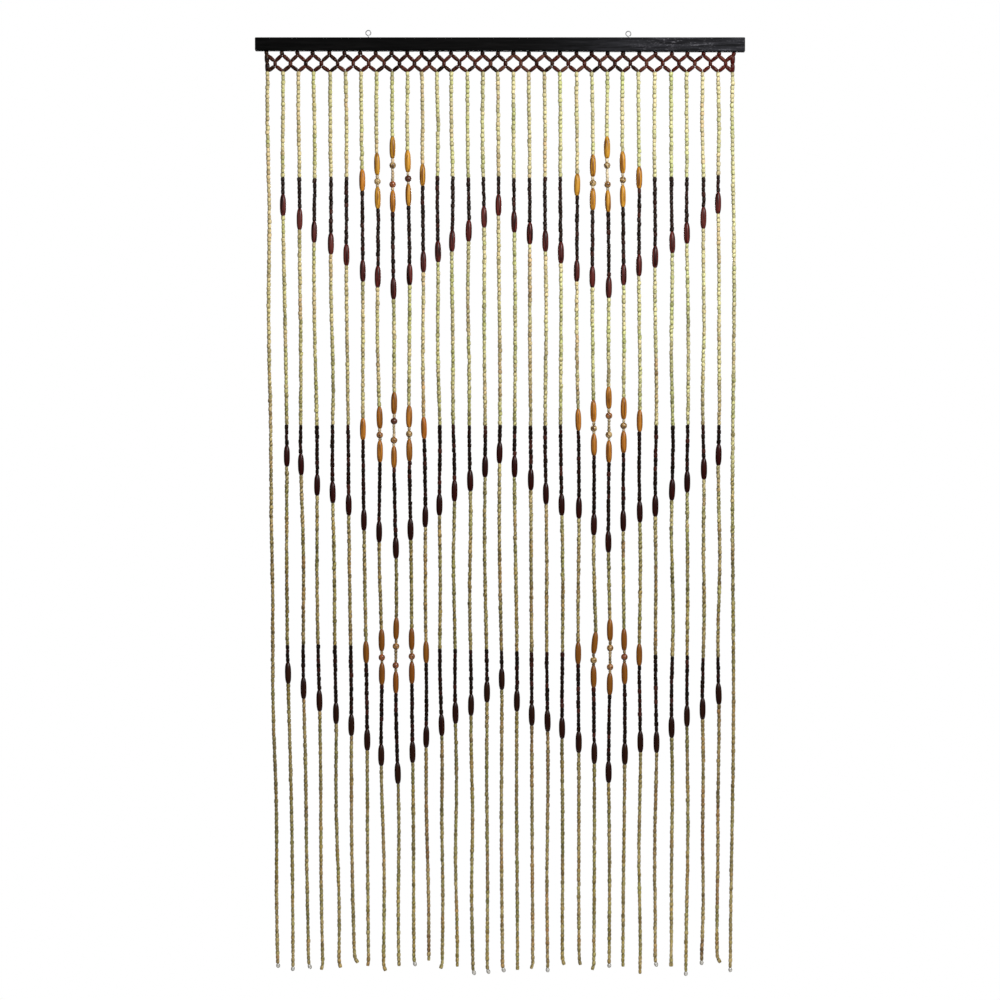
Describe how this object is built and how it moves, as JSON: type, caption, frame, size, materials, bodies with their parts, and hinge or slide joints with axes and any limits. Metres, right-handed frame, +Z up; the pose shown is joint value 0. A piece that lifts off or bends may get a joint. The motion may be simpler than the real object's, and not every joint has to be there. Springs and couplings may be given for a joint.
{
  "type": "bead curtain with header bar",
  "caption": "Doorway string curtain of small seed beads with rows of dark V's and honey diamonds, hung from a stained wood bar with screw eyes.",
  "frame": {"origin": "centre of the header bar's flat top face", "axes": "+X along the bar to the right for someone who faces the curtain, +Y to the back, towards the wall or doorway, +Z up"},
  "size_m": [0.9, 0.02, 1.7385],
  "materials": {
    "stained_wood": "near-black stain on straight-grained wood, satin, greyer and scuffed towards the right end",
    "steel_wire": "zinc-plated wire",
    "seed_beads": "straw to olive seeds, half glossy, with dark red-brown and honey lacquered wooden beads"
  },
  "bodies": {
    "root": {"header_bar": "stained_wood", "screw_eye_left": "steel_wire", "screw_eye_right": "steel_wire", "bead_curtain": "seed_beads"}
  },
  "joints": []
}
